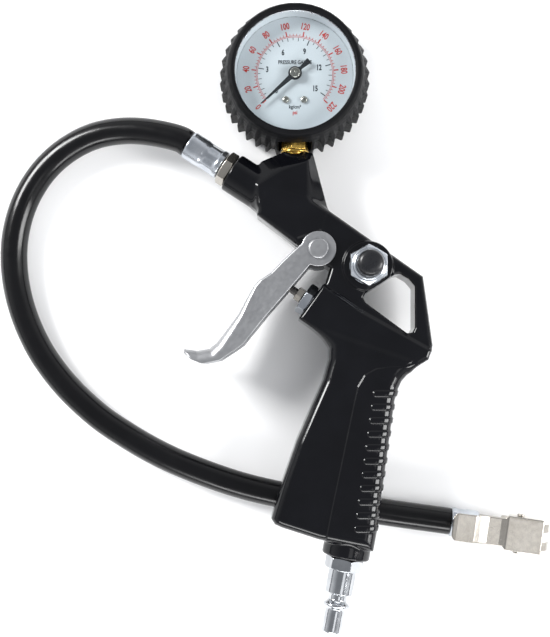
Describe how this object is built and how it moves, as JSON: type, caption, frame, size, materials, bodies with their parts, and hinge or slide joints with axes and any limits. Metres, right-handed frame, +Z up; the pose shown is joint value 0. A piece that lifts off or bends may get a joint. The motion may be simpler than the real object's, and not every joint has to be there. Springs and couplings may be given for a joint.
{
  "type": "tyre inflator with gauge",
  "caption": "Pistol-grip tyre inflator: cast body, trigger valve, round dial gauge in a toothed rubber boot, bleed button, air plug, and a hose with a clip-on chuck.",
  "frame": {"origin": "on the floor below the middle of the tool without its hose and chuck", "axes": "the tool lies on its side: +Z up out of the dial, +Y from the air plug to the gauge, +X to the back of the grip"},
  "size_m": [0.2803, 0.3146, 0.0541],
  "materials": {
    "black_enamel": "gloss",
    "boot_rubber": "satin",
    "hose_rubber": "gloss",
    "seal_rubber": "matt",
    "satin_steel": "satin plate",
    "nickel_plate": "nickel plated",
    "zinc_plate": "bright zinc plated",
    "bright_plug": "polished",
    "spring_steel": "plain",
    "brass": "plain",
    "black_plastic": "satin",
    "dial_paint": "printed dial",
    "lens": "clear"
  },
  "bodies": {
    "gun": {"body_casting": "black_enamel", "gauge_boot": "boot_rubber", "hose": "hose_rubber", "pin_seal": "seal_rubber", "bleed_seal": "seal_rubber", "chuck_seal": "seal_rubber", "trigger_rivet": "satin_steel", "hose_fitting": "nickel_plate", "packing_nut": "nickel_plate", "chuck_body": "nickel_plate", "chuck_pin": "nickel_plate", "gland_nut": "zinc_plate", "bleed_washer": "zinc_plate", "bleed_collar": "zinc_plate", "hose_ferrule_gun": "zinc_plate", "hose_ferrule_chuck": "zinc_plate", "inlet_plug": "bright_plug", "valve_spring": "spring_steel", "bleed_spring": "spring_steel", "chuck_spring": "spring_steel", "gauge_case": "spring_steel", "gauge_bezel": "spring_steel", "dial_screw_left": "spring_steel", "dial_screw_right": "spring_steel", "gauge_socket": "brass", "socket_washer": "brass", "valve_seat": "brass", "chuck_depressor": "brass", "bourdon_tip": "brass", "bourdon_tube": "brass", "movement_plate_front": "brass", "movement_plate_back": "brass", "movement_pillar_low": "brass", "movement_pillar_high": "brass", "dial_plate": "dial_paint", "gauge_lens": "lens"},
    "trigger": {"trigger_lever": "satin_steel"},
    "valve_stem": {"valve_pin": "spring_steel", "valve_poppet": "brass"},
    "bleed_plunger": {"bleed_button": "black_plastic"},
    "pointer_arbor": {"pointer": "black_plastic", "pointer_hub": "bright_plug", "pinion_shaft": "brass"},
    "sector": {"sector_gear": "brass"},
    "link": {"bourdon_link": "brass"},
    "clip": {"chuck_clip": "nickel_plate"}
  },
  "joints": [
    {"name": "trigger_pull", "type": "hinge", "parent": "gun", "child": "trigger", "pos_m": [0.0062, 0.03175, 0.02135], "axis": [0, 0.0506, 0.9987], "range_deg": [0, 9], "stiffness_Nm_per_rad": 0.6, "springref_deg": -14.32},
    {"name": "valve_push", "type": "slide", "parent": "gun", "child": "valve_stem", "axis": [0.829, -0.5585, 0.0283], "range_m": [0, 0.0045]},
    {"name": "bleed_press", "type": "slide", "parent": "gun", "child": "bleed_plunger", "axis": [0, -0.0506, -0.9987], "range_m": [0, 0.0022], "stiffness_N_per_m": 900, "springref_m": -0.0004},
    {"name": "sector_turn", "type": "hinge", "parent": "gun", "child": "sector", "pos_m": [0.0028, 0.11055, 0.01736], "axis": [0, 0.0506, 0.9987], "range_deg": [0, 29.3], "stiffness_Nm_per_rad": 0.0008},
    {"name": "pointer_turn", "type": "hinge", "parent": "gun", "child": "pointer_arbor", "pos_m": [-0.0052, 0.11954, 0.0169], "axis": [0, 0.0506, 0.9987], "range_deg": [-264, 0]},
    {"name": "link_turn", "type": "hinge", "parent": "sector", "child": "link", "pos_m": [0.0061, 0.10685, 0.01755], "axis": [0, 0.0506, 0.9987], "range_deg": [-30, 0]},
    {"name": "clip_press", "type": "hinge", "parent": "gun", "child": "clip", "pos_m": [0.10787, -0.11051, 0.0158], "axis": [-0.1392, -0.9903, 0], "range_deg": [0, 9], "stiffness_Nm_per_rad": 0.35, "springref_deg": -1.72}
  ],
  "couplings": [
    {"joint": "valve_push", "follows": "trigger_pull", "m_per_rad": 0.0252},
    {"joint": "pointer_turn", "follows": "sector_turn", "ratio": -9},
    {"joint": "link_turn", "follows": "sector_turn", "ratio": -1}
  ]
}
